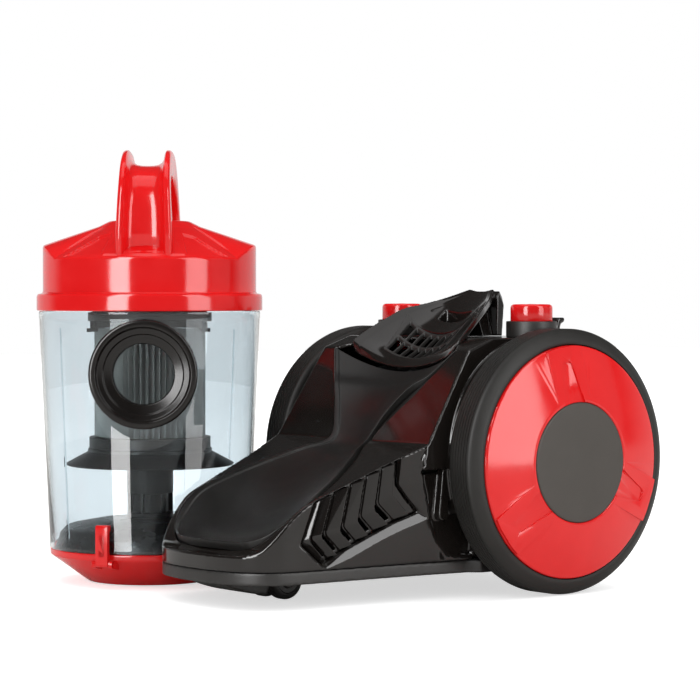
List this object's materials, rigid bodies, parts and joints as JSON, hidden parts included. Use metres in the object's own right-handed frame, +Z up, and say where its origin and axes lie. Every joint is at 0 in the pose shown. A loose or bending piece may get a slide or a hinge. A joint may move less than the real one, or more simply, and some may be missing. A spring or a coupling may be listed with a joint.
{
  "type": "bagless cylinder vacuum cleaner",
  "caption": "Low wheeled vacuum cleaner body with a sloping cradle, foot buttons and big side wheels, beside its clear lift-out cyclone bin with an arched handle.",
  "frame": {"origin": "on the floor, at the centre of the footprint of the machine and its bin together", "axes": "+X towards the machine's right wheel, +Y towards its tail (the nose points along -Y), +Z up"},
  "size_m": [0.3692, 0.3548, 0.322],
  "materials": {
    "gloss_black": "high gloss",
    "satin_black": "satin",
    "red_gloss": "high gloss",
    "tyre_rubber": "satin, fine tread lines",
    "hub_grey": "satin",
    "clear_smoke": "clear, blue-grey tint",
    "seal_rubber": "matt",
    "filter_paper": "pleated, matt",
    "inner_grey": "satin",
    "steel": "plain",
    "copper": "wound"
  },
  "bodies": {
    "base": {"lower_chassis": "satin_black", "upper_housing": "gloss_black", "cradle_panel": "gloss_black", "hood": "gloss_black", "intake_grille": "satin_black", "vent_panel_right": "gloss_black", "vent_panel_left": "gloss_black", "exhaust_grille": "satin_black", "exhaust_filter": "filter_paper", "cord_outlet": "satin_black", "motor_can": "steel", "fan_cover": "inner_grey", "reel_spindle": "satin_black", "power_switch": "inner_grey", "pedal_collar_power": "satin_black", "pedal_collar_cord": "satin_black", "power_spring": "steel", "cord_spring": "steel", "stub_axle_right": "steel", "stub_axle_left": "steel"},
    "wheel_right": {"tyre_right": "tyre_rubber", "wheel_rim_right": "satin_black", "wheel_disc_right": "red_gloss", "hub_cap_right": "hub_grey"},
    "wheel_left": {"tyre_left": "tyre_rubber", "wheel_rim_left": "satin_black", "wheel_disc_left": "red_gloss", "hub_cap_left": "hub_grey"},
    "caster_swivel": {"caster_fork": "satin_black"},
    "caster_rollers": {"caster_axle": "steel", "caster_roller_right": "satin_black", "caster_roller_left": "satin_black"},
    "motor_rotor": {"motor_shaft": "copper", "impeller": "inner_grey"},
    "reel": {"cord_reel": "inner_grey"},
    "power_button": {"power_pedal": "red_gloss"},
    "cord_button": {"cord_pedal": "red_gloss"},
    "dust_bin": {"dust_cup": "clear_smoke", "flap_hinge_pin": "steel", "inlet_ring": "satin_black", "inlet_seal": "seal_rubber"},
    "lid_unit": {"bin_lid": "red_gloss", "carry_handle": "red_gloss", "filter_head": "satin_black", "pleated_filter": "filter_paper", "filter_skirt": "satin_black", "centre_tube": "satin_black", "lid_seal": "seal_rubber"},
    "flap_unit": {"bin_flap": "red_gloss", "flap_floor": "seal_rubber"},
    "latch_unit": {"flap_latch": "red_gloss"}
  },
  "joints": [
    {"name": "wheel_right_spin", "type": "hinge", "parent": "base", "child": "wheel_right", "pos_m": [0.1627, 0.0825, 0.095], "axis": [1, 0, 0], "continuous": true},
    {"name": "wheel_left_spin", "type": "hinge", "parent": "base", "child": "wheel_left", "pos_m": [-0.0533, 0.0825, 0.095], "axis": [1, 0, 0], "continuous": true},
    {"name": "caster_swivel_turn", "type": "hinge", "parent": "base", "child": "caster_swivel", "pos_m": [0.0547, -0.0775, 0.03], "axis": [0, 0, 1], "continuous": true},
    {"name": "caster_roll", "type": "hinge", "parent": "caster_swivel", "child": "caster_rollers", "pos_m": [0.0547, -0.0925, 0.0135], "axis": [1, 0, 0], "continuous": true},
    {"name": "rotor_spin", "type": "hinge", "parent": "base", "child": "motor_rotor", "pos_m": [0.0547, 0.0745, 0.088], "axis": [1, 0, 0], "continuous": true},
    {"name": "reel_spin", "type": "hinge", "parent": "base", "child": "reel", "pos_m": [-0.0013, 0.0805, 0.094], "axis": [1, 0, 0], "continuous": true},
    {"name": "power_press", "type": "slide", "parent": "base", "child": "power_button", "axis": [0, 0, -1], "range_m": [0, 0.005], "stiffness_N_per_m": 300, "springref_m": -0.0015, "deforming": ["power_spring"]},
    {"name": "cord_press", "type": "slide", "parent": "base", "child": "cord_button", "axis": [0, 0, -1], "range_m": [0, 0.005], "stiffness_N_per_m": 300, "springref_m": -0.0015, "deforming": ["cord_spring"]},
    {"name": "bin_lift", "type": "slide", "parent": "base", "child": "dust_bin", "axis": [0, 0, 1], "range_m": [0, 0.25]},
    {"name": "lid_lift", "type": "slide", "parent": "dust_bin", "child": "lid_unit", "axis": [0, 0, 1], "range_m": [0, 0.165]},
    {"name": "flap_open", "type": "hinge", "parent": "dust_bin", "child": "flap_unit", "pos_m": [-0.16243, -0.04366, 0.0335], "axis": [0.6143, 0.7891, 0], "range_deg": [0, 75]},
    {"name": "latch_release", "type": "hinge", "parent": "flap_unit", "child": "latch_unit", "pos_m": [-0.05938, -0.16206, 0.0185], "axis": [0.8652, 0.5015, 0], "range_deg": [0, 18], "stiffness_Nm_per_rad": 0.05}
  ]
}
